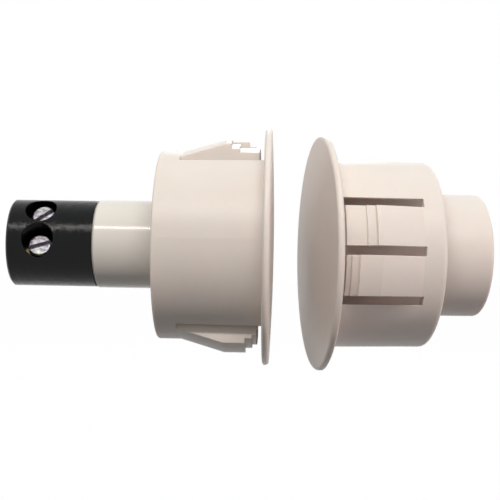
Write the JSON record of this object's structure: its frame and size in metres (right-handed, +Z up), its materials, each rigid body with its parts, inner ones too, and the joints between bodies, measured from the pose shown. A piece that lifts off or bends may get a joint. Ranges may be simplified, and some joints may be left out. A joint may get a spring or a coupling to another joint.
{
  "type": "recessed magnetic contact",
  "caption": "Recessed door contact: a reed switch half with screw terminals and its magnet half, each a white snap-in plug with a domed round flange.",
  "frame": {"origin": "centre of the back face of the switch half's flange, where it meets the door frame's skin", "axes": "+X along the switch half's axis from its terminals towards the magnet half, +Z up, and -Y towards the viewer of the picture"},
  "size_m": [0.064, 0.0331, 0.0325],
  "materials": {
    "adapter_white": "satin moulded",
    "tube_white": "smooth gloss",
    "tube_resin": "cast",
    "capsule_glass": "clear",
    "reed_metal": "plated",
    "tinned_wire": "tinned",
    "wire_sleeve": "smooth",
    "block_black": "satin gloss",
    "clamp_brass": "turned",
    "screw_zinc": "zinc plated",
    "magnet_metal": "ground",
    "neck_resin": "cast"
  },
  "bodies": {
    "root": {"switch_adapter": "adapter_white", "reed_tube": "tube_white", "tube_potting": "tube_resin", "reed_glass": "capsule_glass", "front_reed": "reed_metal", "rear_reed": "reed_metal", "return_wire": "tinned_wire", "return_insulation": "wire_sleeve", "terminal_block": "block_black", "upper_clamp": "clamp_brass", "lower_clamp": "clamp_brass", "upper_screw": "screw_zinc", "lower_screw": "screw_zinc", "magnet_adapter": "adapter_white", "magnet": "magnet_metal", "magnet_potting": "neck_resin"}
  },
  "joints": []
}
